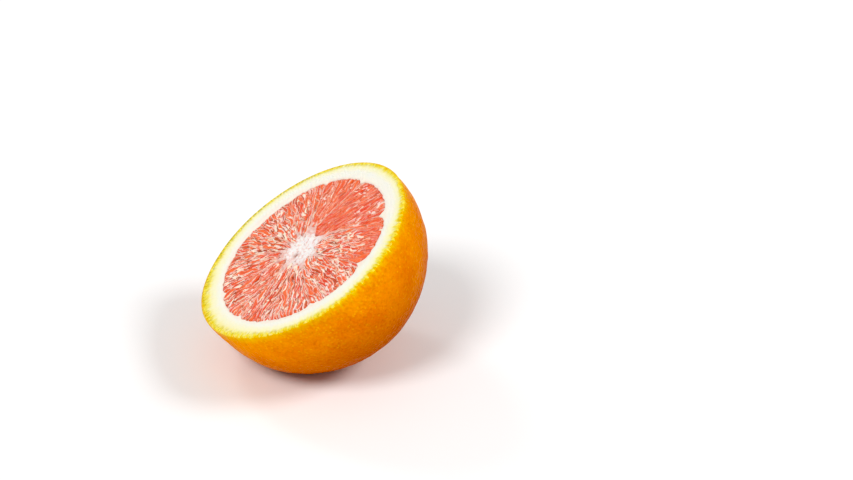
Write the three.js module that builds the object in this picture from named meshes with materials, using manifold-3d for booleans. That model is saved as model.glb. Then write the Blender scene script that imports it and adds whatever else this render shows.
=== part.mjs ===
// An orange half: a sweet orange cut across its segments, leaning on its round side with the cut
// face turned up. Millimetres, +Z up. The origin is under the middle of the half, at the surface
// that it stands on.
//
// The fruit is worked out upright first, in its own frame: +Z along the fruit's axis, z = 0 at the
// cut, the blossom end lowest. Angles run round the axis from +X, which is the rim's highest place
// once the half leans over. Then the whole body leans, gets its flat spot and moves to the origin.
import * as THREE from "three";
import { mergeVertices } from "three/addons/utils/BufferGeometryUtils.js";
import Module from "manifold-3d";

// Driving dimensions: the fruit
const equatorRadius = 39.15; // widest radius, across the axis
const poleRadius = 36.4; // from the fruit's middle to the blossom end
const cutAboveEquator = 5.8; // the knife passed this far beyond the widest place
const rindThickness = 8; // zest and pith together, at the cut
const coreRadius = 5; // white pith column in the middle of the segments
const lean = 31.4; // tilt of the cut face, in degrees
const flatDepth = 1.9; // how much the round side gives where it rests

// Driving dimensions: what makes it grown and not turned
const membraneAngles = [27.8, 57.4, 82, 112.5, 136, 171.5, 201.3, 230, 260, 299.5, 339]; // degrees
const outlineWaves = [
  { count: 2, height: 0.6, towards: -11 },
  { count: 3, height: 0.53, towards: 41 },
  { count: 4, height: 0.2, towards: 12 },
]; // mm, degrees
const sideSwellings = [
  { height: 1.5, towards: 160, spread: 28, depth: 4 },
  { height: -1.15, towards: 190, spread: 20, depth: 8.4 },
]; // mm, degrees, degrees, mm below the rim
const blossomScar = { depth: 0.8, radius: 3 };
const knifeEdge = 0.4; // the cut's rim is worn round by this much

// Driving dimensions: relief of the cut face
const notchDepth = 2; // how far a membrane's end draws the pulp in from the rind
const pulpDip = 0.45; // how far the pulp lies under the cut beside membranes and rind
const pulpCrown = 0.55; // rise of a segment's middle above that
const coreSpike = 2.6; // how far the core reaches out along a membrane
const coreDip = 0.5; // hollow in the middle of the core

// How finely the surfaces are divided
const columnsPerSegment = 9;
const skinRows = 23;
const coreRows = [0.4, 0.75, 1]; // fractions of the way from the middle to the core's edge
const pulpRows = [0.04, 0.12, 0.24, 0.38, 0.52, 0.66, 0.79, 0.89, 0.96, 1]; // core's edge to rind
const rindRows = [0.1, 0.3, 0.55, 0.8, 1]; // rind's inner edge to the knife edge

const radians = THREE.MathUtils.degToRad;
const rimFall = Math.acos(-cutAboveEquator / poleRadius); // from the blossom end to the cut's rim

// ---- the fruit's round side ----

function bell(distance, width) {
  return Math.exp(-((distance / width) ** 2));
}

function angleBetween(a, b) {
  return Math.abs(THREE.MathUtils.euclideanModulo(a - b + 180, 360) - 180);
}

function outlineWave(angle) {
  return outlineWaves.reduce(
    (sum, wave) => sum + wave.height * Math.cos(radians(wave.count * (angle - wave.towards))),
    0,
  );
}

// How far one side swells out, most at one depth below the rim and nothing at the rim itself.
function swelling(side, fall, angle) {
  const depths = ((rimFall - fall) * poleRadius) / side.depth;
  const facing = bell(angleBetween(angle, side.towards), side.spread);
  return side.height * facing * depths * Math.exp(1 - depths);
}

// A point of the skin: fall is its angle from the blossom end, in radians, and angle is in degrees.
function skinPoint(fall, angle) {
  const across = Math.sin(fall);
  const swollen = sideSwellings.reduce((sum, side) => sum + swelling(side, fall, angle), 0);
  const radius = (equatorRadius + outlineWave(angle) * across) * across + swollen;
  const scar = blossomScar.depth * bell(radius, blossomScar.radius);
  const height = -poleRadius * Math.cos(fall) - cutAboveEquator + scar;
  return new THREE.Vector3(radius * Math.cos(radians(angle)), radius * Math.sin(radians(angle)), height);
}

function rimRadius(angle) {
  const rim = skinPoint(rimFall, angle);
  return Math.hypot(rim.x, rim.y);
}

// ---- the cut face ----

// A column is one direction round the axis. Its side runs from -1 at the membrane before it to 1 at
// the membrane after it, so 0 is the middle of a segment.
function makeColumns() {
  const columns = [];
  membraneAngles.forEach((start, index) => {
    const next = membraneAngles[index + 1] ?? membraneAngles[0] + 360;
    for (let step = 0; step < columnsPerSegment; step++) {
      const share = step / columnsPerSegment;
      columns.push({ angle: start + share * (next - start), side: 2 * share - 1 });
    }
  });
  return columns;
}

function coreEdge(column) {
  return coreRadius + coreSpike * Math.abs(column.side) ** 3;
}

function pulpEdge(column) {
  return rimRadius(column.angle) - rindThickness - notchDepth * column.side ** 6;
}

// Rows across the cut face, from the middle outwards, as a radius and a height for each column.
function coreRow(share, column) {
  const edge = coreEdge(column);
  return { radius: share * edge, height: -coreDip * bell(share, 0.6) - 0.5 * pulpDip * share };
}

function pulpRow(share, column) {
  const inner = coreEdge(column);
  const radius = inner + share * (pulpEdge(column) - inner);
  const acrossSegment = 1 - column.side ** 4;
  const alongSegment = 1 - (2 * share - 1) ** 6;
  return { radius, height: pulpCrown * acrossSegment * alongSegment - pulpDip };
}

function rindRow(share, column) {
  const inner = pulpEdge(column);
  const outer = rimRadius(column.angle) - knifeEdge;
  const dip = pulpDip * bell(share, 0.12);
  return { radius: inner + share * (outer - inner), height: -dip };
}

function facePoint(row, column) {
  const turn = radians(column.angle);
  return new THREE.Vector3(row.radius * Math.cos(turn), row.radius * Math.sin(turn), row.height);
}

// ---- one closed body ----

// Rings of points from the blossom end up the skin, over the rim and in to the middle of the cut.
function makeRings(columns) {
  const topFall = rimFall - knifeEdge / poleRadius;
  const rings = [];
  for (let row = 1; row <= skinRows; row++) {
    const fall = topFall * (row / skinRows) ** 1.25;
    rings.push(columns.map((column) => skinPoint(fall, column.angle)));
  }
  for (const share of [...rindRows].reverse()) {
    rings.push(columns.map((column) => facePoint(rindRow(share, column), column)));
  }
  for (const share of [...pulpRows].reverse()) {
    rings.push(columns.map((column) => facePoint(pulpRow(share, column), column)));
  }
  for (const share of [...coreRows].reverse()) {
    rings.push(columns.map((column) => facePoint(coreRow(share, column), column)));
  }
  return rings;
}

function closedBody(rings, firstPoint, lastPoint) {
  const count = rings[0].length;
  const points = [firstPoint, ...rings.flat(), lastPoint];
  const ringVertex = (ring, column) => 1 + ring * count + (column % count);
  const last = points.length - 1;
  const faces = [];
  for (let column = 0; column < count; column++) {
    faces.push(0, ringVertex(0, column + 1), ringVertex(0, column));
    for (let ring = 0; ring < rings.length - 1; ring++) {
      const [a, b] = [ringVertex(ring, column), ringVertex(ring, column + 1)];
      const [c, d] = [ringVertex(ring + 1, column), ringVertex(ring + 1, column + 1)];
      faces.push(a, b, d, a, d, c);
    }
    faces.push(last, ringVertex(rings.length - 1, column), ringVertex(rings.length - 1, column + 1));
  }
  return new THREE.BufferGeometry().setFromPoints(points).setIndex(faces);
}

function fruitBody() {
  const blossomEnd = skinPoint(0, 0);
  const coreMiddle = new THREE.Vector3(0, 0, coreRow(0, { side: 0 }).height);
  return closedBody(makeRings(makeColumns()), blossomEnd, coreMiddle);
}

// ---- the flat spot that it rests on ----

const wasm = await Module();
wasm.setup();

function toSolid(geometry) {
  const bare = new THREE.BufferGeometry()
    .setAttribute("position", geometry.getAttribute("position"))
    .setIndex(geometry.index);
  const merged = mergeVertices(bare, 1e-4);
  return new wasm.Manifold(
    new wasm.Mesh({
      numProp: 3,
      vertProperties: merged.attributes.position.array,
      triVerts: new Uint32Array(merged.index.array),
    }),
  );
}

function toGeometry(solid) {
  const mesh = solid.getMesh();
  return new THREE.BufferGeometry()
    .setAttribute("position", new THREE.BufferAttribute(mesh.vertProperties, 3))
    .setIndex(new THREE.BufferAttribute(mesh.triVerts, 1));
}

// Cuts away what lies below the given height, with a block wider than the fruit.
function cutBelow(geometry, height) {
  const side = 4 * equatorRadius;
  const block = new THREE.BoxGeometry(side, side, side).translate(0, 0, height - side / 2);
  return toGeometry(toSolid(geometry).subtract(toSolid(block)));
}

function leaningHalf() {
  const body = fruitBody().rotateY(-radians(lean));
  body.computeBoundingBox();
  const resting = cutBelow(body, body.boundingBox.min.z + flatDepth);
  resting.computeBoundingBox();
  const { min, max } = resting.boundingBox;
  resting.translate(-(min.x + max.x) / 2, -(min.y + max.y) / 2, -min.z);
  resting.computeVertexNormals();
  return resting;
}

const zest = new THREE.MeshStandardMaterial({ color: 0xe8860a, roughness: 0.42, metalness: 0 });

const orangeHalf = new THREE.Mesh(leaningHalf(), zest);
orangeHalf.name = "orange_half";

const part = new THREE.Group();
part.add(orangeHalf);

export default part;
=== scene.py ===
# %% [markdown]
# # Half an orange, leaning with its cut face up
# A sweet orange was cut across its segments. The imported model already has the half's true size and
# place, so it is loaded first and nothing is fitted to it afterwards. It is plain, though: one solid
# with a soft outline of the segments. This notebook rebuilds it as the things that a cut orange
# shows, which are zest, pith with its membranes and core, and eleven segments of pulp.

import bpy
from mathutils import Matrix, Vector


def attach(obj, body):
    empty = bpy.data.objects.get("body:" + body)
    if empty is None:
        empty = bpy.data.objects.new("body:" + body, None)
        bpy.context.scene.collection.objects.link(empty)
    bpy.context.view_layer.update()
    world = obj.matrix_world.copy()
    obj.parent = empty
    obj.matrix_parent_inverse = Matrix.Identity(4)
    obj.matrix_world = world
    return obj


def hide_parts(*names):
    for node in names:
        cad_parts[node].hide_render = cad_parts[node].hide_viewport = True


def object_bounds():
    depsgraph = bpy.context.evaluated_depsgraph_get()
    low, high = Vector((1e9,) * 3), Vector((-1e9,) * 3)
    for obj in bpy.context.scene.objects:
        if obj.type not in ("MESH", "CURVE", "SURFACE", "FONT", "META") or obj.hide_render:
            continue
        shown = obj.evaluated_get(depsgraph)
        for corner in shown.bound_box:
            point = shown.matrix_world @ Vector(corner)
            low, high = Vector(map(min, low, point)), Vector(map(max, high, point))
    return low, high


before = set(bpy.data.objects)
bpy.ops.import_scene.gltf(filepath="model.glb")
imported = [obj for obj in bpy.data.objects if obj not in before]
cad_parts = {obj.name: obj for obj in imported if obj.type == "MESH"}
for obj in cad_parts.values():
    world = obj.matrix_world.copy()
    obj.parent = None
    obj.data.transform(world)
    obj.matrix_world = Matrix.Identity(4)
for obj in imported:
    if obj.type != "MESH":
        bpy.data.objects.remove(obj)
cad_low, cad_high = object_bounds()
print("packed half, mm:", [round(1000 * side, 1) for side in cad_high - cad_low])

# %% [markdown]
# ## The fruit as a formula
# An orange is nearly a ball, a little flat at its ends, so its skin can be written as a formula: for
# each fall (the angle up from the blossom end) and each angle round the axis, one radius and one
# height. A few slow waves and swellings make it grown and not turned. Every piece asks the same
# formula where the skin is, which is why they fit. The formula works upright, in millimetres, with
# height 0 at the cut; the lean comes at the very end.

# %% Sizes and the skin's formula
import cmath
import math
from collections import namedtuple

import bmesh
import bpy
import numpy as np
from mathutils import Color, Euler, Matrix, Vector, kdtree

scene = bpy.context.scene
EQUATOR_RADIUS = 39.15
POLE_RADIUS = 36.4
CUT_ABOVE_EQUATOR = 5.8
LEAN = math.radians(31.4)
FLAT_DEPTH = 1.9  # how much the round side gives where it rests
UNDER_THE_BOX = 0.05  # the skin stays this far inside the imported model
OUTLINE_WAVES = ((2, 0.6, -11), (3, 0.53, 41), (4, 0.2, 12))  # count, height, angle of a crest
SWELLINGS = ((1.5, 160, 28, 4), (-1.15, 190, 20, 8.4))  # height, angle, spread, depth under the rim
SCAR_DEPTH, SCAR_RADIUS = 0.8, 3  # the dimple at the blossom end

RIM_FALL = math.acos(-CUT_ABOVE_EQUATOR / POLE_RADIUS)


def bell(distance, width):
    """1 at no distance, falling smoothly to nearly 0 at twice the width."""
    return np.exp(-((distance / width) ** 2))


def dip(distance, depth, width):
    """How deep a smooth dip is at a distance from its middle."""
    return depth * bell(distance, width)


def unit(vectors):
    return vectors / np.linalg.norm(vectors, axis=1, keepdims=True)


def turn(angle, towards):
    """Degrees from one direction to the other, the short way round."""
    return (angle - towards + 180) % 360 - 180


def skin(fall, angle):
    """Radius and height of the skin, in mm. fall is in radians and angle in degrees."""
    across = np.sin(fall)
    waves = [height * np.cos(np.radians(count * (angle - crest))) for count, height, crest in OUTLINE_WAVES]
    radius = (EQUATOR_RADIUS + sum(waves) * across) * across
    for height, towards, spread, depth in SWELLINGS:
        depths = (RIM_FALL - fall) * POLE_RADIUS / depth
        radius = radius + height * bell(turn(angle, towards), spread) * depths * np.exp(1 - depths)
    height = -POLE_RADIUS * np.cos(fall) - CUT_ABOVE_EQUATOR + SCAR_DEPTH * bell(radius, SCAR_RADIUS)
    return radius, height


def rim_radius(angle):
    return skin(RIM_FALL, angle)[0]


def place_round(radius, angle, height):
    """Points from radius and height in mm and angle in degrees."""
    turned = np.radians(angle)
    points = np.broadcast_arrays(radius * np.cos(turned), radius * np.sin(turned), height)
    return np.stack(points, axis=-1)


# %% [markdown]
# ## From upright to leaning
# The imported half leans 31.4 degrees and rests on a small flat spot. The same turn is made here, and
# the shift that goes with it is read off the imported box, so the pieces sit where the solid sits.

# %% The lean
lean_matrix = np.array(Matrix.Rotation(-LEAN, 3, "Y"))
some_falls, some_angles = np.meshgrid(np.linspace(0, RIM_FALL, 240), np.arange(0, 360, 1.5))
some_radii, some_heights = skin(some_falls, some_angles)
leaning_skin = place_round(some_radii, some_angles, some_heights).reshape(-1, 3) @ lean_matrix.T
skin_low, skin_high = leaning_skin.min(0), leaning_skin.max(0)
shift = 500 * np.array(cad_low + cad_high) - (skin_low + skin_high) / 2
shift[2] = 1000 * cad_low.z - (skin_low[2] + FLAT_DEPTH)


def leaning(points):
    """Upright points in mm, as row frame points in metres. None goes under the flat spot."""
    placed = points @ lean_matrix.T + shift
    placed[:, 2] = np.maximum(placed[:, 2], 0)
    return placed / 1000


cut_middle = Vector(leaning(np.zeros((1, 3)))[0])
print("middle of the cut, mm:", [round(1000 * x, 2) for x in cut_middle])

# %% [markdown]
# ## Lattices
# Every piece starts as a flat grid that bmesh makes. For a body of rotation the grid is rolled into a
# drum and welded along its seam and at its ends, which is the fast way to a full turn of many
# hundred columns. A vertex then knows its row and its direction from where it sits, and one numpy
# step moves all of them, a hundred thousand at once, to where the fruit's formula says.

# %% Flat and rolled lattices
def lattice_points(lattice):
    return np.array([v.co for v in lattice.verts])


def move_lattice(lattice, points):
    for vertex, point in zip(lattice.verts, points):
        vertex.co = point


def flat_lattice(rows, columns):
    """A flat grid from -1 to 1 both ways."""
    lattice = bmesh.new()
    bmesh.ops.create_grid(lattice, x_segments=columns, y_segments=rows, size=1)
    return lattice


def flat_place(lattice, rows, columns):
    """Each vertex's row and column in a flat lattice."""
    flat = lattice_points(lattice)
    row, column = (flat[:, 1] + 1) / 2 * rows, (flat[:, 0] + 1) / 2 * columns
    return np.rint(row).astype(int), np.rint(column).astype(int)


def rolled_lattice(rows, columns):
    """A closed drum: its first and last rows are points on the axis, and height is the row."""
    lattice = flat_lattice(rows, columns)
    row, column = flat_place(lattice, rows, columns)
    angle = 360 * (column % columns) / columns
    move_lattice(lattice, place_round((row > 0) & (row < rows), angle, row))
    bmesh.ops.remove_doubles(lattice, verts=lattice.verts, dist=1e-5)
    return lattice


def drum_place(lattice):
    """Each vertex's row and angle in a rolled lattice."""
    drum = lattice_points(lattice)
    return np.rint(drum[:, 2]).astype(int), np.degrees(np.arctan2(drum[:, 1], drum[:, 0])) % 360


# %% From a lattice to a piece
def lattice_object(lattice, name):
    mesh = bpy.data.meshes.new(name)
    lattice.to_mesh(mesh)
    lattice.free()
    made = bpy.data.objects.new(name, mesh)
    scene.collection.objects.link(made)
    return made


def make_piece(name, lattice, points, values):
    """Leans a lattice and hands it over as a piece of the half that carries some values."""
    move_lattice(lattice, leaning(points))
    bmesh.ops.recalc_face_normals(lattice, faces=lattice.faces)
    piece = lattice_object(lattice, name)
    mesh = piece.data
    mesh.shade_smooth()
    for title, numbers in values.items():
        numbers = np.asarray(numbers, np.float32)
        kind, field = ("FLOAT_VECTOR", "vector") if numbers.ndim == 2 else ("FLOAT", "value")
        mesh.attributes.new(title, kind, "POINT").data.foreach_set(field, numbers.ravel())
    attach(piece, "root")
    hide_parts("orange_half")
    triangles = sum(len(p.vertices) - 2 for p in mesh.polygons)
    print(f"{name}: {len(points)} vertices, {triangles} triangles")
    return piece


# %% Smooth noise and soft steps
def ripples(points, size, seed, count=16):
    """Smooth noise, about -2 to 2, with bumps of the given size: a sum of slanting waves."""
    draw = np.random.default_rng(seed)
    directions = unit(draw.normal(size=(count, points.shape[-1])))
    lengths = size * draw.uniform(0.8, 1.6, count)
    phases = draw.uniform(0, math.tau, count)
    total = np.zeros(points.shape[:-1])
    for direction, length, phase in zip(directions, lengths, phases):
        total += np.cos(points @ direction * math.tau / length + phase)
    return total / math.sqrt(count / 2)


FINE = 30  # more waves, for fine noise


def rippled(points, layers, shift=0, count=16):
    """Layers of ripples, each with its height, size and seed."""
    return sum(rise * ripples(points, size, seed + shift, count) for rise, size, seed in layers)


def ease(value, low, high):
    """Rises smoothly from 0 to 1 as the value goes from low to high."""
    share = np.clip((value - low) / (high - low), 0, 1)
    return share * share * (3 - 2 * share)


# %% [markdown]
# ## Zest
# The coloured outside of the rind is about a millimetre and a half thick and holds the oil glands,
# which show as pits. Bump alone would leave the outline smooth, so the larger pits are real dents:
# points are strewn evenly over the skin like seeds on a sunflower head, and each vertex sinks by how
# near it is to one. The body is a bowl: up the outside, over the cut edge and back down inside.

# %% Zest sizes
ZEST_THICKNESS = 1.5
KNIFE_EDGE = 0.4  # the skin's own rows stop this far under the rim
ZEST_COLUMNS = 590
SKIN_ROWS = 146
# Rows over the cut edge, as height and distance from the rim
EDGE_ROWS = (
    (-0.34, 0.04), (-0.16, 0.16), (-0.06, 0.36), (-0.03, 0.6),
    (-0.03, 0.85), (-0.03, 1.1), (-0.03, 1.3), (-0.05, ZEST_THICKNESS),
)
INNER_ROWS = 8
PIT_SPACING = 1.6
PIT_SCATTER = 0.28  # share of the spacing by which a pit strays
PIT_DEPTH = (0.1, 0.28)
PIT_RADIUS = (0.42, 0.75)
SKIN_LUMPS = ((0.05, 18, 3), (0.035, 4.5, 4))  # height, size and seed
EVEN_RIM = (0.3, 1.4)  # distances from the rim where pits and lumps begin and are full
FRUIT_MIDDLE = np.array([0, 0, -CUT_ABOVE_EQUATOR])


# %% Oil pits
def pit_dents(points, draw):
    """How deep the skin sinks at each point, and how near that is to a pit's middle."""
    size = EQUATOR_RADIUS
    count = int(4 * math.pi * size**2 / PIT_SPACING**2)
    index = np.arange(count) + 0.5
    heights = 1 - 2 * index / count
    golden_turns = index * math.pi * (3 - math.sqrt(5))
    seeds = place_round(np.sqrt(1 - heights**2), np.degrees(golden_turns), heights)
    seeds += draw.normal(0, PIT_SCATTER * PIT_SPACING / size, seeds.shape)
    depths, radii = draw.uniform(*PIT_DEPTH, count), draw.uniform(*PIT_RADIUS, count)
    tree = kdtree.KDTree(count)
    for number, seed in enumerate(seeds):
        tree.insert(seed, number)
    tree.balance()
    found = [tree.find(direction)[1:] for direction in unit(points - FRUIT_MIDDLE)]
    which = np.array([number for number, _ in found])
    nearness = bell(size * np.array([far for _, far in found]), radii[which])
    return depths[which] * nearness, nearness


# %% The uneven yellow ring
# Where the ring is wider or narrower: share, direction and how far round
RING_WIDTHS = (
    (0.55, 172, 60), (0.2, 318, 18), (-0.22, 352, 16),
    (-0.15, 68, 26), (-0.2, 108, 20), (-0.2, 240, 20),
)
RING_MARKS = {"olive": (100, 55), "froth": (220, 36), "toothed": (310, 60)}  # direction, how far round


def swell(angle, swellings):
    """What swellings add in a direction. Each has its amount, direction and spread."""
    return sum(extra * bell(turn(angle, towards), spread) for extra, towards, spread in swellings)


def ring_width(angle):
    return 1 + swell(angle, RING_WIDTHS)


def ring_marks(angle):
    """How olive, frothy and toothed the ring is in a direction, from 0 to 1."""
    return {title: bell(turn(angle, towards), spread) for title, (towards, spread) in RING_MARKS.items()}


# %% The bowl of zest
def shrunk(radius, height, inset):
    """The skin's point, drawn in towards the fruit's middle."""
    share = 1 - inset / POLE_RADIUS
    return radius * share, (height + CUT_ABOVE_EQUATOR) * share - CUT_ABOVE_EQUATOR


def make_zest():
    last_edge_row = SKIN_ROWS + len(EDGE_ROWS)
    lattice = rolled_lattice(last_edge_row + INNER_ROWS, ZEST_COLUMNS)
    row, angle = drum_place(lattice)
    outside, inside = row <= SKIN_ROWS, row > last_edge_row
    edge = ~outside & ~inside

    fall_at_edge = RIM_FALL - KNIFE_EDGE / POLE_RADIUS
    inner_fall = RIM_FALL * (1 - (row - last_edge_row) / INNER_ROWS)
    fall = np.where(outside, fall_at_edge * row / SKIN_ROWS, np.where(inside, inner_fall, RIM_FALL))
    radius, height = shrunk(*skin(fall, angle), np.where(inside, ZEST_THICKNESS, UNDER_THE_BOX))
    edge_heights, insets = np.array(EDGE_ROWS)[row[edge] - SKIN_ROWS - 1].T
    height[edge] = edge_heights
    radius[edge] = rim_radius(angle[edge]) - UNDER_THE_BOX - insets
    points = place_round(radius, angle, height)

    rim_distance = np.where(outside, (fall - RIM_FALL) * POLE_RADIUS, ZEST_THICKNESS)
    rim_distance[edge] = insets
    dent, pit = pit_dents(points, np.random.default_rng(7))
    lumps = sum(rise * (2 + ripples(points, size, seed)) for rise, size, seed in SKIN_LUMPS)
    sunk = np.where(outside, (dent + np.maximum(lumps, 0)) * ease(-rim_distance, *EVEN_RIM), 0)
    points -= unit(points - FRUIT_MIDDLE) * sunk[:, None]
    values = {
        "rim_distance": rim_distance / np.where(edge, ring_width(angle), 1),
        "rim_place": place_round(rim_radius(angle), angle, rim_distance),
        "pit": pit,
        "up_the_side": fall / RIM_FALL,
        **ring_marks(angle),
    }
    return make_piece("zest", lattice, points, values)


zest = make_zest()

# %% [markdown]
# ## Segments, laid out
# Skins as thin as paper run from the core out to the pith and part the segments. They wander a
# little, they thicken into white spikes where they leave the core, and at the rind they draw the
# pulp in with a small notch. No two segments of a real orange are alike, so each has a row of its
# own here. Its first five numbers are for a membrane: its angles at the rind and at the root, how
# far the core reaches along it, and how stout its spike and notch are. The others are for pulp:
# where it begins, its streaks near core and rind, its tangle and its open sacs.

# %% The eleven segments
FIELDS = "membrane root reach spike notch tip streaks_in streaks_out tangle open_sacs"
Segment = namedtuple("Segment", FIELDS)
SEGMENTS = tuple(Segment(*row) for row in (
    (26.0, 42.0, 9.8, 0.20, 1.3, 9.4, 0.30, 0.40, 0.14, 0.75),
    (57.6, 57.0, 11.0, 0.45, 1.0, 7.2, 0.75, 0.55, 0.10, 0.50),
    (84.2, 87.0, 8.6, 0.28, 0.7, 5.6, 0.84, 0.84, 0.07, 0.30),
    (110.0, 111.5, 8.2, 0.18, 0.7, 6.1, 0.85, 0.85, 0.08, 0.25),
    (137.0, 137.0, 9.8, 0.28, 1.0, 8.7, 0.60, 0.90, 0.14, 0.30),
    (171.0, 162.5, 9.8, 0.28, 1.2, 6.6, 0.50, 0.75, 0.24, 0.35),
    (203.0, 196.5, 9.0, 0.30, 1.0, 6.0, 0.70, 0.75, 0.16, 0.40),
    (228.4, 225.0, 7.6, 0.18, 0.7, 5.2, 0.85, 0.80, 0.10, 0.30),
    (259.7, 250.5, 9.6, 0.38, 1.6, 4.5, 0.84, 0.70, 0.11, 0.30),
    (299.2, 291.0, 7.0, 0.25, 2.5, 4.0, 1.15, 0.28, 0.20, 0.50),
    (338.1, 354.0, 8.8, 0.28, 2.6, 5.9, 0.20, 0.40, 0.17, 0.80),
))
PULP_RADIUS = 31.5
THICK_RIND = ((1.6, 97, 26), (0.5, 245, 40))  # extra thickness, direction and how far round
EDGE_BUMPS = ((47, 0.1, 0.4), (71, 0.09, 2.2), (113, 0.06, 4.1))  # count, height and phase
MEMBRANE_HALF = 0.07
ROOT_RADIUS = 10.0  # where the roots' angles and the spikes' half widths are measured
SPIKE_REACH = 2.8
NOTCH_POWER = 7
SWAY = (0.4, 1.0), (4, 8), (0, math.tau)  # the membranes' sway, as degrees, length and phase

ALL_ROUND = SEGMENTS + SEGMENTS[:1]
membranes = [segment.membrane for segment in SEGMENTS]
membranes.append(membranes[0] + 360)
sway_draw = np.random.default_rng(5)
sways = [sway_draw.uniform(*span, len(SEGMENTS)) for span in SWAY]


def straight_line(segment):
    """Radii and angles along a straight line from a membrane's root to the rind."""
    root = cmath.rect(ROOT_RADIUS, math.radians(segment.root))
    end = cmath.rect(PULP_RADIUS, math.radians(segment.membrane))
    line = np.linspace(root, end, 40)
    return np.abs(line), segment.root + turn(np.degrees(np.angle(line)), segment.root)


def membrane_angle(index, radius):
    """Angle of a membrane at a radius. Index 11 is the first one again, a full turn on."""
    turns, which = divmod(index, len(SEGMENTS))
    degrees, length, phase = (sway[which] for sway in sways)
    straight = np.interp(radius, *straight_line(SEGMENTS[which])) + 360 * turns
    return straight + degrees * np.sin(radius / length + phase)


def half_degrees(index, radius):
    """Half a membrane's width at a radius, spike and all."""
    half = MEMBRANE_HALF + ALL_ROUND[index].spike * np.exp(-(radius - ROOT_RADIUS) / SPIKE_REACH)
    return np.degrees(half / radius)


def side_angles(segment, radius):
    """Angles of a segment's two sides at a radius."""
    start = membrane_angle(segment, radius) + half_degrees(segment, radius)
    stop = membrane_angle(segment + 1, radius) - half_degrees(segment + 1, radius)
    return start, stop


# %% Both ends of the pulp
NARROWEST_TIP, FARTHEST_TIP, TIP_POWER = 0.5, 14, 5


def tip_radius(segment):
    """The radius that the segment's row gives, or farther out, where its sides leave room."""
    radii = np.linspace(SEGMENTS[segment].tip, FARTHEST_TIP, 400)
    start, stop = side_angles(segment, radii)
    return radii[np.argmax(np.radians(stop - start) * radii > NARROWEST_TIP)]


def pulp_edge(segment, angle, side):
    """The radius where the pulp meets the rind."""
    notch = np.where(side < 0, SEGMENTS[segment].notch, ALL_ROUND[segment + 1].notch)
    notch = notch * np.abs(side) ** NOTCH_POWER
    bumps = [height * np.cos(np.radians(count * angle) + phase) for count, height, phase in EDGE_BUMPS]
    return PULP_RADIUS - swell(angle, THICK_RIND) - notch + sum(bumps)


tips = np.array([tip_radius(segment) for segment in range(len(SEGMENTS))])
print("pulp begins, mm from the axis:", tips.round(1).tolist())


def segment_place(segment, side, along):
    """Radius and angle in a segment: side from -1 to 1, along from 0 at the tip to 1 at the rind."""
    first, last = membranes[segment], membranes[segment + 1]
    rough_angle = (first + last) / 2 + side * (last - first) / 2
    reach = np.where(side < 0, SEGMENTS[segment].reach, ALL_ROUND[segment + 1].reach)
    tip = tips[segment] + np.maximum(reach - tips[segment], 0.1) * np.abs(side) ** TIP_POWER
    radius = tip + along * (pulp_edge(segment, rough_angle, side) - tip)
    start, stop = side_angles(segment, radius)
    return radius, (start + stop) / 2 + side * (stop - start) / 2


# %% [markdown]
# ## Pith, membranes and core
# On the fruit these are one white, spongy body: the pith lines the zest, the core stands in the
# middle, and the membranes join them. So it is one mesh. The pulp needs room, and each segment gets
# a trough with upright walls: in the lattice two neighbouring rows or columns share a place on the
# cut but not a height.

# %% White body sizes
TROUGH_DEPTH = 3.2
SEGMENT_COLUMNS = 76
CORE_ROWS, TROUGH_ROWS, PITH_ROWS, OUTSIDE_ROWS = 30, 20, 32, 10
WALL = 0.02  # a trough's wall leans by this much
PITH_LEVEL, MEMBRANE_LEVEL, CORE_LEVEL = -0.05, -0.16, -0.12  # heights on the cut
PITH_SPONGE = ((0.035, 1.2, 11), (0.03, 0.6, 12))  # height, size and seed
CORE_FIBRES = ((0.09, 1.0, 14), (0.05, 0.5, 15))
MEMBRANE_WAVES = ((0.08, 2.5, 13),)
PULP_GROOVE = (0.2, 0.06)  # depth, and width as a share of the pith, of the dip beside the pulp
CORE_HOLLOW = (0.3, 3.6)  # depth and width of the dip in the core
CORE_HOLE = (3.35, 192, 0.75, 0.9)  # radius, angle, half width and depth
CLEFTS, CLEFT_DEPTH = 12, 0.5  # narrow, nearly radial gaps in the core
CLEFT_RADII, CLEFT_HALF_WIDTH, CLEFT_HALF_LENGTH = (1.0, 7.0), (0.14, 0.26), (0.6, 1.3)


# %% The white body's plan
def white_plan(row, column):
    """Radius, angle, masks of core, trough floors and pith, and how far out in the pith."""
    trough_first = CORE_ROWS + 1
    trough_last = trough_first + TROUGH_ROWS
    segment, step = np.divmod(column, SEGMENT_COLUMNS)
    side = np.interp(step, (2, SEGMENT_COLUMNS - 2), (-1, 1))
    along = np.clip((row - trough_first) / TROUGH_ROWS, 0, 1)
    radius, angle = np.zeros((2, len(row)))
    for number in range(len(SEGMENTS)):
        here = segment == number
        r, a = segment_place(number, side[here], along[here])
        wall = np.degrees(WALL / r)
        on_walls = [step[here] == at for at in (0, 1, SEGMENT_COLUMNS - 1)]
        radius[here] = r
        angle[here] = np.select(on_walls, [membrane_angle(number, r), a - wall, a + wall], a)
    core, pith = row < trough_first, row > trough_last
    floor = ~core & ~pith & (step >= 2) & (step <= SEGMENT_COLUMNS - 2)
    radius = np.where(core, (radius - WALL) * row / CORE_ROWS, radius)
    out = np.clip((row - trough_last - 1) / PITH_ROWS, 0, 1)
    zest_edge = rim_radius(angle) - UNDER_THE_BOX - ZEST_THICKNESS
    radius = np.where(pith, radius + WALL + out * (zest_edge - radius - WALL), radius)
    return radius, angle, core, floor, pith, out


# %% Clefts in the core
def cut_place(radius, angle):
    """A place on the cut, in mm."""
    return place_round(radius, angle, 0)[..., :2]


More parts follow.
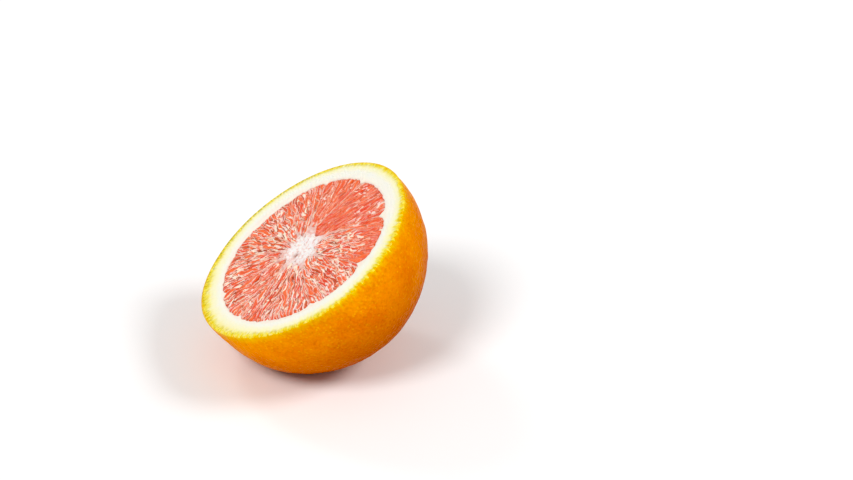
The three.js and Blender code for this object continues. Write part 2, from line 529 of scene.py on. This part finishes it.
def core_clefts(places):
    """Depth, 0 to 1, of short, narrow gaps that point roughly away from the middle."""
    draw = np.random.default_rng(21)
    depth = np.zeros(len(places))
    for _ in range(CLEFTS):
        radius, angle = draw.uniform(*CLEFT_RADII), draw.uniform(0, 360)
        x, y = (places - cut_place(radius, angle)).T
        heading = math.radians(angle) + draw.normal(0, 0.35)
        far = np.hypot(
            (y * math.cos(heading) - x * math.sin(heading)) / draw.uniform(*CLEFT_HALF_WIDTH),
            (x * math.cos(heading) + y * math.sin(heading)) / draw.uniform(*CLEFT_HALF_LENGTH),
        )
        depth = np.maximum(depth, draw.uniform(0.4, 1.0) * bell(far, 1))
    return depth


# %% The white body's top
def top_height(flat, radius, out, masks, in_hole, clefts):
    """Heights where the masks of core, trough floors and pith say so, or else of the membranes."""
    sponge = rippled(flat, PITH_SPONGE, count=FINE) * ease(out, 0, 0.15) * ease(1 - out, 0, 0.15)
    pith = PITH_LEVEL + sponge - dip(out, *PULP_GROOVE)
    core = CORE_LEVEL + rippled(flat, CORE_FIBRES, count=FINE) - dip(radius, *CORE_HOLLOW)
    core = core - CORE_HOLE[3] * in_hole - CLEFT_DEPTH * clefts
    membrane = MEMBRANE_LEVEL + rippled(flat, MEMBRANE_WAVES)
    return np.select(masks, [core, -TROUGH_DEPTH, pith], membrane)


# %% The white body
def make_white_body():
    last_top_row = CORE_ROWS + TROUGH_ROWS + PITH_ROWS + 2
    columns = len(SEGMENTS) * SEGMENT_COLUMNS
    lattice = rolled_lattice(last_top_row + OUTSIDE_ROWS, columns)
    row, angle = drum_place(lattice)
    column = np.rint(angle * columns / 360).astype(int) % columns
    radius, angle, core, floor, pith, out = white_plan(row, column)
    flat = cut_place(radius, angle)
    in_hole = bell(np.linalg.norm(flat - cut_place(*CORE_HOLE[:2]), axis=1), CORE_HOLE[2])
    clefts = core_clefts(flat)
    height = top_height(flat, radius, out, [core, floor, pith], in_hole, clefts)

    outside = row > last_top_row
    fall = RIM_FALL * (1 - (row - last_top_row) / OUTSIDE_ROWS)
    under_radius, under_height = shrunk(*skin(fall, angle), ZEST_THICKNESS + UNDER_THE_BOX)
    whole_height = np.where(outside, under_height, height)
    points = place_round(np.where(outside, under_radius, radius), angle, whole_height)
    rim = rim_radius(angle)
    values = {
        "rim_distance": (rim - radius) / ring_width(angle),
        "rim_place": place_round(rim, angle, rim - radius),
        "core": (~pith).astype(float),
        "arm": np.where(core, ease(radius, 4.5, 9), ~pith),
        "outward": ease(radius, 8, 13),
        "hole": np.maximum(np.sqrt(in_hole), 0.9 * clefts * core),
        "from_pulp": np.where(pith, radius - PULP_RADIUS, 0),
        **ring_marks(angle),
    }
    return make_piece("pith_membranes_and_core", lattice, points, values)


white_body = make_white_body()

# %% [markdown]
# ## Pulp
# Pulp is a bundle of juice sacs, long drops a millimetre or two wide that point at the core and lie
# over each other like roof tiles. The knife levels the highest and leaves the lower ones whole.
# A mesh for each sac would hide most of it, so each segment is one closed slab whose top is moulded:
# every sac is pressed into the surface as a long dome, the highest dome wins, and the knife's height
# cuts them off. Along the seams lie pale threads, which are sac skins that the knife folded over; their
# pale colour is partly painted highlight, for wet pulp that glints. Beside a seam and in hollows, the
# pulp gets painted shade.

# %% Juice sac sizes
GRID_STEP = 0.115
SLAB_DEPTH = 3.0
SAC_SPACING = (1.05, 3.8)  # across and along
SAC_HALF_WIDTH = (0.45, 0.85)
SAC_HALF_LENGTH = (3.0, 7.5)
SAC_LEVEL = (-0.75, -0.1)
SAC_DOME = 0.42  # height of a sac's dome for a mm of half width
DEEPEST = -0.8
FLATTEST = 0.25  # a slope gentler than this makes no seam
# painted shade: the crease reach is how far the lower sac is darkened beside a seam
SKIN_EDGE, CREASE_SHADE = 0.26, 0.28  # how far pale edge and dark crease reach from a seam
THREADS_PER_MM2 = 0.16
SHARE_OF_BOX = 0.6  # how much of its box a segment fills
ON_A_SEAM = 0.15  # a thread starts no farther than this from a seam
THREAD_HALF_WIDTH = (0.16, 0.4)
THREAD_HALF_LENGTH = (0.45, 1.8)
BEAD_HALF = (0.35, 0.6)  # some threads are round beads, pale as painted highlight, most where sacs lie in a tangle
THREAD_HEIGHT = 0.16
STREAK_RADII = (8, 28)  # where a segment's two numbers for streaks hold
NEAR_RIND = 0.6  # threads are likelier at the rind by up to this much
# Pale beads, painted highlight where the pulp glints: radius, angle, the beads' spread and their number
GLINT_BEADS = (
    (22.3, 357, 0.9, 5), (21.8, 345, 1.2, 6), (26.8, 347, 1.2, 5), (29.0, 352, 0.6, 2),
    (27.7, 23, 0.9, 4), (29.3, 17, 0.7, 3), (27.2, 13, 0.8, 3), (16, 176, 0.4, 2),
    (26.3, 160, 0.9, 4), (18.4, 295, 0.6, 3), (24.6, 201, 0.5, 2), (23, 52, 0.8, 3),
    (19, 325, 1.6, 7), (22.5, 309, 1.4, 7), (17, 313, 1.0, 3),
)
GLINT_BEAD_HALF_LENGTH = (0.4, 1.1)


def stretch_across(radius):
    """The pulp's width for its sacs, which narrows towards the core less than the segment."""
    return 20 * (radius / 20) ** 0.7


def streaks_at(segment, radius):
    return np.interp(radius, STREAK_RADII, (segment.streaks_in, segment.streaks_out))


# %% Pressing sacs into a segment
def long_drop(across, along, half_width, half_length, slant, taper=0.0):
    """0 in the middle of a long drop and 1 at its outline. The taper fattens its outer end."""
    s = across * math.cos(slant) - along * math.sin(slant)
    t = (across * math.sin(slant) + along * math.cos(slant)) / half_length
    return np.sqrt((s / (half_width * (1 + taper * np.clip(t, -1, 1)))) ** 2 + t**4)


def press_sacs(across, along, segment, draw):
    """The two highest domes at each point, which is highest and whether its sac lies on top."""
    x_step, y_step = SAC_SPACING
    xs = np.arange(across.min() - x_step, across.max() + x_step, x_step)
    ys = np.arange(along.min() - y_step, along.max() + y_step, y_step)
    seeds = np.stack(np.meshgrid(xs, ys), -1).reshape(-1, 2)
    seeds += draw.uniform(-0.6, 0.6, seeds.shape) * SAC_SPACING
    highest, second = np.full(across.shape, DEEPEST), np.full(across.shape, DEEPEST - 0.05)
    which, other = np.zeros((2, *across.shape), int)
    levels = draw.uniform(*SAC_LEVEL, len(seeds))
    for number, (x, y) in enumerate(seeds):
        half_width, half_length = draw.uniform(*SAC_HALF_WIDTH), draw.uniform(*SAC_HALF_LENGTH)
        slant = draw.normal(0, segment.tangle)
        reach = 1.8 * half_width + 0.5 * half_length
        near = (abs(along - y) < 1.5 * half_length) & (abs(across - x) < reach)
        far = long_drop(across[near] - x, along[near] - y, half_width, half_length, slant, 0.3)
        dome = levels[number] + SAC_DOME * half_width * (1 - far**4)
        wins, comes_second = dome > highest[near], dome > second[near]
        other[near] = np.where(wins, which[near], np.where(comes_second, number, other[near]))
        second[near] = np.where(wins, highest[near], np.maximum(second[near], dome))
        highest[near] = np.where(wins, dome, highest[near])
        which[near] = np.where(wins, number, which[near])
    return highest, second, which, levels[which] > levels[other], len(seeds)


def seam_distance(rise, across_step, along_step):
    """How far a seam is, in mm: the highest sac's rise above the next, over how steeply it grows."""
    wide = np.pad(rise, 1, mode="edge")
    before, after = np.abs(wide[:-2, 1:-1] - rise), np.abs(wide[2:, 1:-1] - rise)
    left, right = np.abs(wide[1:-1, :-2] - rise), np.abs(wide[1:-1, 2:] - rise)
    slope = np.hypot(np.maximum(before, after) / along_step, np.maximum(left, right) / across_step)
    return rise / np.maximum(slope, FLATTEST)


# %% Laying threads along the seams
def lay_threads(across, along, seam, segment, draw):
    """Ridges of pale sac skin, 0 to 1, laid where sacs meet. Their pale colour is partly painted highlight.
    """
    area = (across.max() - across.min()) * (along.max() - along.min()) * SHARE_OF_BOX
    ridge = np.zeros(across.shape)
    seam_rows, seam_columns = np.nonzero(seam < ON_A_SEAM)
    for _ in range(int(area * THREADS_PER_MM2)):
        pick = draw.integers(len(seam_rows))
        start = seam_rows[pick], seam_columns[pick]
        x, y = across[start], along[start]
        half_width, half_length = draw.uniform(*THREAD_HALF_WIDTH), draw.uniform(*THREAD_HALF_LENGTH)
        if draw.uniform() < segment.tangle:
            half_width, half_length = draw.uniform(*BEAD_HALF), draw.uniform(*BEAD_HALF)
        slant = draw.normal(0, 0.8 * segment.tangle + 0.05)
        strength, chance = draw.uniform(0.45, 1.0), draw.uniform()
        at_rind = NEAR_RIND * segment.streaks_out * ease(y, 24, 29)
        if chance > streaks_at(segment, y) ** 1.5 + at_rind:
            continue
        near = (abs(along - y) < 1.2 * half_length) & (abs(across - x) < 2.5)
        far = long_drop(across[near] - x, along[near] - y, half_width, half_length, slant)
        ridge[near] = np.maximum(ridge[near], strength * np.sqrt(np.maximum(1 - far**2, 0)))
    return ridge


def lay_glint_beads(places):
    """Raised pale beads, 0 to 1, whose colour is painted highlight where the pulp glints."""
    draw = np.random.default_rng(31)
    ridge = np.zeros(places.shape[:-1])
    for radius, angle, spread, count in GLINT_BEADS:
        from_middle = places - cut_place(radius, angle)
        for _ in range(count):
            across, along = np.moveaxis(from_middle - draw.normal(0, spread, 2), -1, 0)
            half_width, half_length = draw.uniform(*THREAD_HALF_WIDTH), draw.uniform(*GLINT_BEAD_HALF_LENGTH)
            far = long_drop(across, along, half_width, half_length, draw.uniform(0, math.pi))
            ridge = np.maximum(ridge, np.sqrt(np.maximum(1 - far**2, 0)))
    return ridge


def blurred(field, cells):
    """The field averaged over a square, so many cells each way."""
    padded = np.pad(field, cells, mode="edge")
    squares = np.lib.stride_tricks.sliding_window_view(padded, (2 * cells + 1,) * 2)
    return squares.mean((2, 3))


# %% The slab that is moulded
def border(lattice):
    return [edge for edge in lattice.edges if edge.is_boundary]


def slab(rows, columns):
    """A flat grid with a skirt and a bottom, closed all round."""
    lattice = flat_lattice(rows, columns)
    skirt = bmesh.ops.extrude_edge_only(lattice, edges=border(lattice))["geom"]
    lower = [part for part in skirt if isinstance(part, bmesh.types.BMVert)]
    bmesh.ops.translate(lattice, verts=lower, vec=(0, 0, -1))
    bmesh.ops.holes_fill(lattice, edges=border(lattice), sides=0)
    return lattice


# %% One segment
WIDEST = 26.0  # the radius where a segment's columns are counted
WANDER = ((0.24, 6, 100), (0.05, 1.7, 200))  # how sacs stray sideways: amount, size and first seed
KNIFE_LEVEL = -0.12
OPENED = 0.3  # how much deeper the knife goes where it opens every sac
KNIFE_WAVES = ((0.04, 8, 300),)
LEFT_STANDING = 0.25  # of what rises above the knife's level
GRAIN = ((0.03, 0.7, 400),)
END_DIP, SIDE_DIP = (0.3, 0.35), (0.12, 0.25)  # depth and width of the dips at a segment's border
AROUND = 4  # grid steps that count as a place's surroundings
# painted shade: a place below its surroundings is darkened
HOLLOW_SHADE = (0.02, 0.22)  # how far under its surroundings a place is a little dark, and darkest


def make_segment(number):
    segment, draw = SEGMENTS[number], np.random.default_rng(40 + number)
    start, stop = side_angles(number, WIDEST)
    columns = int(np.radians(stop - start) * WIDEST / GRID_STEP)
    rows = int((PULP_RADIUS - tips[number]) / GRID_STEP)
    side, along = np.meshgrid(np.linspace(-1, 1, columns + 1), np.linspace(0, 1, rows + 1))
    radius, angle = segment_place(number, side, along)
    half_angle = np.radians(np.subtract(*side_angles(number, radius))) / -2
    x = side * half_angle * stretch_across(radius)
    plan = np.stack([x, radius], -1)
    for stray, size, seed in WANDER:
        x = x + stray * ripples(plan, size, seed + number)
    highest, second, which, on_upper, count = press_sacs(x, radius, segment, draw)
    seam = seam_distance(highest - second, 2 * half_angle * radius / columns, GRID_STEP)
    skin_edge = np.where(on_upper, bell(seam, SKIN_EDGE), 0)
    # painted shade: the lower sac is darkened beside a seam
    crease_shade = np.where(on_upper, 0, bell(seam, CREASE_SHADE))

    knife = KNIFE_LEVEL - OPENED * segment.open_sacs + rippled(plan, KNIFE_WAVES, number)
    height = np.minimum(highest, knife + LEFT_STANDING * np.maximum(highest - knife, 0))
    threads = lay_threads(x, radius, seam, segment, draw)
    # painted highlight: pale beads where the pulp glints
    threads = np.maximum(threads, lay_glint_beads(cut_place(radius, angle)))
    height = height + THREAD_HEIGHT * threads + rippled(plan, GRAIN, number, FINE)
    from_side = (1 - np.abs(side)) * half_angle * radius
    from_end = np.minimum(along, 1 - along) * (PULP_RADIUS - tips[number])
    height = height - dip(from_end, *END_DIP) - dip(from_side, *SIDE_DIP)
    # painted shade in the hollows
    hollow_shade = ease(blurred(height, AROUND) - height, *HOLLOW_SHADE)

    lattice = slab(rows, columns)
    at = flat_place(lattice, rows, columns)
    on_top = lattice_points(lattice)[:, 2] > -0.5
    points = place_round(radius[at], angle[at], np.where(on_top, height[at], -SLAB_DEPTH))
    values = {
        "thread": threads[at],
        "skin_edge": skin_edge[at],
        "painted_shade": np.maximum(hollow_shade, crease_shade)[at],
        "tone": draw.uniform(0, 1, count)[which[at]],
        "from_core": radius[at] - tips[number],
        "streaks": streaks_at(segment, radius)[at],
        "border": np.maximum(bell(from_end, 0.4), 0.7 * bell(from_side, 0.25))[at],
        "sac_place": np.stack([x[at] + 40 * number, radius[at], draw.uniform(0, 9, count)[which[at]]], -1),
    }
    return make_piece(f"pulp_segment_{number + 1:02d}", lattice, points, values)


pulp = [make_segment(number) for number in range(len(SEGMENTS))]

# %% [markdown]
# ## Shader sums
# A finish is a web of nodes, and most of it is sums. The small class below lets a socket be added,
# subtracted and multiplied as if it were a number, so that the sums read like sums.

# %% A socket that can be reckoned with
class Wire:
    def __init__(self, finish, socket):
        self.finish, self.socket = finish, socket

    def sum(self, operation, *values):
        return self.finish.node("ShaderNodeMath", {"operation": operation}, dict(enumerate(values)))

    def __add__(self, other):
        return self.sum("ADD", self, other)

    def __sub__(self, other):
        return self.sum("SUBTRACT", self, other)

    def __rsub__(self, other):
        return self.sum("SUBTRACT", other, self)

    def __mul__(self, other):
        return self.sum("MULTIPLY", self, other)

    __radd__, __rmul__ = __add__, __mul__


# %% One finish, made node by node
class Finish:
    def __init__(self, name):
        self.material = bpy.data.materials.new(name)
        self.material.use_nodes = True
        self.tree = self.material.node_tree
        self.tree.nodes.clear()

    def node(self, kind, settings=None, sockets=None, out=0):
        made = self.tree.nodes.new(kind)
        for name, value in (settings or {}).items():
            setattr(made, name, value)
        for name, value in (sockets or {}).items():
            if isinstance(value, Wire):
                self.tree.links.new(value.socket, made.inputs[name])
            else:
                made.inputs[name].default_value = value
        return Wire(self, made.outputs[out]) if made.outputs else made

    def value(self, attribute):
        """A number that the mesh carries at each vertex."""
        return self.node("ShaderNodeAttribute", {"attribute_name": attribute}, out="Fac")

    def place(self, size, at=None):
        """A place in the row frame, or one that the mesh carries, counted in steps of so many mm."""
        if at:
            place = self.node("ShaderNodeAttribute", {"attribute_name": at}, out="Vector")
            scale = tuple(1 / length for length in size)
        else:
            place = self.node("ShaderNodeTexCoord", out="Object")
            scale = (1000 / size,) * 3
        return self.node("ShaderNodeMapping", None, {"Vector": place, "Scale": scale})

    def noise(self, size, detail, roughness=0.5, at=None):
        """Cloudy noise from 0 to 1."""
        sockets = {"Scale": 1.0, "Detail": detail, "Roughness": roughness}
        return self.node("ShaderNodeTexNoise", None, {"Vector": self.place(size, at), **sockets})

    def cells(self, size):
        """How far it is to the nearest of some strewn points, one to a step."""
        sockets = {"Vector": self.place(size), "Scale": 1.0}
        return self.node("ShaderNodeTexVoronoi", None, sockets, out="Distance")

    def step(self, value, low, high, start=0.0, stop=1.0):
        """Goes smoothly from start to stop as a value goes from low to high."""
        sockets = {"Value": value, "From Min": low, "From Max": high, "To Min": start, "To Max": stop}
        return self.node("ShaderNodeMapRange", {"interpolation_type": "SMOOTHSTEP"}, sockets)

    def mix(self, share, first, second):
        """The first colour at a share of 0 and the second at 1."""
        return self.node("ShaderNodeMix", {"data_type": "RGBA"}, {0: share, 6: first, 7: second}, out=2)

    def layered(self, colour, *layers):
        """A colour with layers over it, each as how much of it shows and its own colour."""
        for share, over in layers:
            colour = self.mix(share, colour, over)
        return colour

    def bump(self, height, distance, strength):
        """Relief of the given depth in mm, for a height from 0 to 1."""
        sockets = {"Height": height, "Distance": distance / 1000, "Strength": strength}
        return self.node("ShaderNodeBump", None, sockets)

    def done(self, **sockets):
        """Ends the finish in one shader, with its sockets named in small letters."""
        titles = [name.replace("_", " ").title().replace("Ior", "IOR") for name in sockets]
        shader = self.node("ShaderNodeBsdfPrincipled", None, dict(zip(titles, sockets.values())))
        self.node("ShaderNodeOutputMaterial", None, {"Surface": shader})
        print(f"{self.material.name}: {len(self.tree.nodes)} nodes")
        return self.material


def paint(*screen):
    """Turns a screen colour, 0 to 255, into Blender's linear numbers."""
    return (*Color([share / 255 for share in screen]).from_srgb_to_scene_linear(), 1.0)


# %% [markdown]
# ## Rind finish
# Zest and pith meet in the cut as one slow change of colour: orange skin, a bright yellow ring where
# the knife opened the oil glands, then cream. Both materials therefore share one function that goes
# by the distance from the rim. The change is never a clean line, so the distance is first made
# ragged with noise that is stretched across the ring, like short teeth.

# %% Rind colours
ORANGE, DEEP_ORANGE = paint(252, 146, 0), paint(240, 126, 0)
# painted shade: all of the low orange, and part of the pit orange, which is also the glands' own tone
PIT_GLAND_AND_SHADE_ORANGE, PAINTED_SHADE_ORANGE = paint(168, 75, 0), paint(180, 80, 0)
# the speck colour serves both pale glands and painted glints on the pits
GOLD, GLAND_SPECK_AND_GLINT = paint(244, 190, 4), paint(255, 180, 30)
LEMON, GLAND_YELLOW, GLAND_OLIVE = paint(252, 232, 72), paint(216, 186, 22), paint(138, 138, 40)
PALE_YELLOW = paint(255, 244, 160)
CREAM, WARM_WHITE = paint(255, 248, 203), paint(252, 248, 233)


def ragged_distance(finish):
    """Distance from the rim in mm, made uneven: negative down the skin, positive into the cut."""
    teeth = finish.noise((1.0, 1.0, 3.0), 2, at="rim_place")
    waves = finish.noise((5, 5, 9), 2, at="rim_place")
    distance = finish.value("rim_distance")
    reach = finish.step(distance, 0.5, 3.5, 3.0, 1.2) * (finish.value("toothed") * 1.2 + 1.0)
    return distance + (teeth - 0.5) * reach + (waves - 0.5) * 1.4 + finish.value("froth") * 0.4


def cut_rind_colour(finish, ragged):
    """Yellow with glands and froth at the rim, cream farther in."""
    glands = finish.noise((0.75, 0.75, 1.3), 2, at="rim_place")
    froth = finish.noise((0.9, 0.9, 0.9), 3, at="rim_place")
    distance, olive = finish.value("rim_distance"), finish.value("olive")
    in_band = finish.step(distance, -0.5, 0.0) * finish.step(distance, 0.4, 2.6, 1.0, 0.0)
    frothy = finish.step(froth, 0.45, 0.7, 0.0, 0.6) * (finish.value("froth") + 0.35) * in_band
    yellow = finish.layered(GOLD, (finish.step(ragged, -0.4, 1.0), LEMON), (frothy, PALE_YELLOW))
    cream = finish.mix(finish.step(ragged, 2.6, 5.0), CREAM, WARM_WHITE)
    opened = finish.step(glands + olive * 0.06, 0.47, 0.66, 0.0, 0.7) * in_band
    gland = finish.mix(olive, GLAND_YELLOW, GLAND_OLIVE)
    return finish.layered(yellow, (finish.step(ragged, 0.7, 3.0), cream), (opened, gland))


# %% [markdown]
# ## Zest finish
# Orange skin is never one colour. It has slow blotches, dark pits that are partly the glands' own tone
# and partly painted shade in the dents, pale specks that are partly glands close under the wax and
# partly painted glints on the pits, painted shade low down and a golden tone near the cut. Each is a
# layer over the one before, so each can be judged and changed alone.

# %% Zest finish
def make_zest_finish():
    finish = Finish("zest_skin")
    ragged = ragged_distance(finish)
    up = finish.value("up_the_side")
    patches = finish.step(finish.noise(6, 2), 0.35, 0.65, 0.3, 1.0)
    colour = finish.layered(
        ORANGE,
        (finish.step(finish.noise(10, 4, 0.65), 0.34, 0.66), DEEP_ORANGE),
        # dark pits: partly the glands' own tone, partly painted shade in the dents
        (finish.step(finish.value("pit"), 0.3, 0.9, 0.0, 0.16), PIT_GLAND_AND_SHADE_ORANGE),
        # pale specks: partly glands close under the wax, partly painted glints
        (finish.step(finish.noise(0.9, 2), 0.5, 0.7, 0.0, 0.2), GLAND_SPECK_AND_GLINT),
        (finish.step(finish.cells(1.5), 0.08, 0.36, 0.6, 0.0) * patches, GLAND_SPECK_AND_GLINT),
        # painted highlight: sparse bright specks stand for glints on the pits
        (finish.step(finish.cells(2.2), 0.08, 0.2, 0.8, 0.0), GLAND_SPECK_AND_GLINT),
        # painted shade: the skin turns darker orange low on the side
        (finish.step(up, 0.35, 1.0, 1.0, 0.0) * finish.step(up, 0.1, 0.5, 0.6, 1.0), PAINTED_SHADE_ORANGE),
        (finish.step(ragged, -10.0, -1.0, 0.0, 0.2), GOLD),
        (finish.step(ragged, -3.0, -0.6, 0.0, 0.6), GOLD),
        (finish.step(ragged, -1.1, 0.0), cut_rind_colour(finish, ragged)),
    )
    pores = finish.cells(1.1)
    normal = finish.bump(pores + finish.noise(0.5, 2) * 0.5, 0.4, 1.0)
    return finish.done(
        base_color=colour,
        roughness=0.36,
        ior=1.35,
        specular_ior_level=0.04,
        normal=normal,
        subsurface_weight=0.05,
        subsurface_radius=(1.0, 0.4, 0.05),
        subsurface_scale=0.0012,
    )


# %% [markdown]
# ## Pith finish
# Pith is a dry sponge that juice stains beside the pulp, while the core and the membranes are damp
# and pink shows through them. The mesh says where each is, and noise breaks up the borders.

# %% Pith finish
CORE_WHITE, CORE_PINK = paint(254, 248, 245), paint(240, 186, 174)
# the cleft brown is painted shade in the core's hole and clefts
CLEFT_SHADE_BROWN, PULP_STAIN = paint(176, 104, 82), paint(255, 226, 210)
MEMBRANE_PINK = paint(248, 150, 116)


def make_pith_finish():
    finish = Finish("pith_sponge")
    stain = finish.step(finish.value("from_pulp"), 0.0, 1.3, 0.7, 0.0)
    mottle = finish.step(finish.noise(1.0, 3), 0.46, 0.66, 0.0, 0.7)
    pinker = finish.step(finish.noise(2.2, 2), 0.35, 0.6, 1.0, 0.35)
    inner = finish.layered(
        CORE_WHITE,
        (mottle + finish.value("arm") * 0.7, CORE_PINK),
        (finish.value("outward") * pinker, MEMBRANE_PINK),
    )
    colour = finish.layered(
        cut_rind_colour(finish, ragged_distance(finish)),
        (stain * finish.noise(1.5, 2), PULP_STAIN),
        (finish.value("core"), inner),
        # painted shade: the core's hole and clefts are darkened with brown
        (finish.value("hole") * 0.95, CLEFT_SHADE_BROWN),
    )
    return finish.done(
        base_color=colour,
        roughness=0.6,
        specular_ior_level=0.3,
        normal=finish.bump(finish.noise(0.7, 4, 0.65), 0.3, 0.7),
        subsurface_weight=0.25,
        subsurface_radius=(1.0, 0.75, 0.5),
        subsurface_scale=0.0012,
    )


zest.data.materials.append(make_zest_finish())
white_body.data.materials.append(make_pith_finish())

# %% [markdown]
# ## Pulp finish
# Wet pulp is see-through red deep inside a sac and pale at its skin. The mesh carries where the
# threads, seams and hollows are, and a tone for each sac, and the finish mixes its colours from them:
# seams and hollows get painted shade, and the threads' pale colour is partly painted highlight.
# Fibres much finer than the mesh come from noise that is stretched along the sacs.

# %% Pulp finish
# the crease brown is painted shade, in seams, in hollows and at the pulp's tips
DEEP_RED, PAINTED_SHADE_BROWN = paint(200, 50, 12), paint(158, 62, 20)
CORAL, SALMON = paint(236, 58, 12), paint(250, 109, 50)
SAC_PINK, SAC_CREAM = paint(255, 226, 218), paint(255, 236, 212)


def flesh_colour(finish, fibre, streaks):
    """Coral and salmon, redder in the furrows and at a segment's border."""
    patch = finish.noise((2.4, 5.0, 4.0), 2, at="sac_place")
    stripes = finish.noise((0.8, 4.5, 4.0), 1, at="sac_place")
    return finish.layered(
        CORAL,
        (finish.step(finish.value("tone") * 0.6 + patch * 1.2, 0.6, 1.2), SALMON),
        (finish.step(stripes, 0.44, 0.64, 0.0, 0.7), SALMON),
        (finish.step(fibre, 0.5, 0.75, 0.0, 0.45), SALMON),
        (finish.step(fibre, 0.48, 0.3, 0.0, 0.6) * (streaks * 0.6 + 0.4), DEEP_RED),
        (finish.value("border") * 0.5, DEEP_RED),
    )


def make_pulp_finish():
    finish = Finish("pulp_wet")
    fibre = finish.noise((0.4, 2.4, 0.6), 3, 0.6, at="sac_place")
    breaks = finish.noise((1.1, 2.4, 1.0), 2, at="sac_place")
    sac_noise = finish.step(finish.noise(1.6, 1), 0.4, 0.6)
    # the pale sac colour, which on threads and beads is also painted highlight
    sac_skin_and_glint = finish.mix(sac_noise, SAC_PINK, SAC_CREAM)
    streaks, from_core = finish.value("streaks"), finish.value("from_core")
    # painted shade: seams and hollows are darkened with brown
    crease_shade = finish.value("painted_shade") * finish.step(breaks, 0.3, 0.6, 0.8, 1.2)
    edge = finish.value("skin_edge") * streaks * finish.step(breaks, 0.38, 0.56, 0.1, 1.75)
    near_core = finish.step(from_core + (fibre - 0.5) * 8.0, 0.0, 1.2, 0.5, 0.0) * streaks
    # painted shade: brown at the pulp's tip, where it meets the core
    tip = finish.step(from_core, 0.3, 1.5, 0.7, 0.0) * finish.step(breaks, 0.44, 0.56)
    # partly painted highlight: pale threads and beads stand for glints on wet pulp as well as for sac skin
    thread = finish.step(finish.value("thread"), 0.12, 0.6) * (streaks * 0.3 + 0.75)
    colour = finish.layered(
        flesh_colour(finish, fibre, streaks),
        (crease_shade * (streaks * 0.9 + 0.12), PAINTED_SHADE_BROWN),
        (edge, sac_skin_and_glint),
        (near_core, sac_skin_and_glint),
        (tip, PAINTED_SHADE_BROWN),
        (thread, sac_skin_and_glint),
    )
    return finish.done(
        base_color=colour,
        roughness=0.3,
        specular_ior_level=0.15,
        normal=finish.bump(fibre, 0.12, 0.6),
        coat_weight=0.45,
        coat_roughness=0.06,
        subsurface_weight=0.1,
        subsurface_radius=(1.0, 0.3, 0.2),
        subsurface_scale=0.0008,
    )


pulp_finish = make_pulp_finish()
for piece in pulp:
    piece.data.materials.append(pulp_finish)

# %% [markdown]
# ## Floor, light and camera
# A half orange on white paper: a pale floor, an even sky, and soft lamps above it on the left, on
# the right and behind. They are small enough for wet pulp to glint and for pits to keep their shade.
# The camera looks down by 30 degrees from far away with a long lens, which keeps the cut face's
# circle almost undistorted.

# %% Floor
FLOOR_SIDE = 8.0

sheet = bmesh.new()
bmesh.ops.create_grid(sheet, x_segments=1, y_segments=1, size=FLOOR_SIDE / 2)
floor = lattice_object(sheet, "floor")
paper = Finish("white_paper").done(base_color=paint(252, 252, 252), roughness=0.8)
floor.data.materials.append(paper)

# %% Lamps and sky
# Far lamps, for an even light: name, direction, width in degrees and strength
LAMPS = (
    ("left_lamp", (-0.62, -0.42, 0.85), 22, 1.52),
    ("right_lamp", (0.75, -0.3, 0.7), 22, 1.34),
    ("back_lamp", (-0.35, 0.8, 0.75), 14, 0.36),
)
SKY_STRENGTH = 0.39

for name, towards, width, strength in LAMPS:
    lamp = bpy.data.lights.new(name, "SUN")
    lamp.energy, lamp.angle = strength, math.radians(width)
    holder = bpy.data.objects.new(name, lamp)
    holder.rotation_euler = Vector(towards).to_track_quat("Z", "Y").to_euler()
    scene.collection.objects.link(holder)

sky = bpy.data.worlds.new("even_sky")
sky.use_nodes = True
background = sky.node_tree.nodes["Background"]
background.inputs["Color"].default_value = (1, 1, 1, 1)
background.inputs["Strength"].default_value = SKY_STRENGTH
scene.world = sky

# %% Tones
BLACK_LEVEL = 0.02  # takes off the haze that white paper leaves in every gloss

view = scene.view_settings
view.view_transform = "Standard"
view.use_curve_mapping = True
view.curve_mapping.black_level = (BLACK_LEVEL,) * 3
view.curve_mapping.update()

# %% Camera
CAMERA_TURN = math.radians(-16.5)
CAMERA_RISE = math.radians(30)
CAMERA_DISTANCE = 0.66
LENS, SENSOR_WIDTH = 84.96, 36
CLIP_START, CLIP_END = 0.01, 50
FRAME_RIGHT, FRAME_UP = 0.04065, 0.00272  # from the middle of the cut to the middle of the frame

camera_data = bpy.data.cameras.new("camera")
camera_data.lens, camera_data.sensor_width = LENS, SENSOR_WIDTH
camera_data.clip_start, camera_data.clip_end = CLIP_START, CLIP_END
camera = bpy.data.objects.new("camera", camera_data)
camera.rotation_euler = Euler((math.pi / 2 - CAMERA_RISE, 0, CAMERA_TURN))
from_cut = Vector((FRAME_RIGHT, FRAME_UP, CAMERA_DISTANCE))
camera.location = cut_middle + camera.rotation_euler.to_matrix() @ from_cut
scene.collection.objects.link(camera)
scene.camera = camera
print("camera, mm:", [round(1000 * x) for x in camera.location])
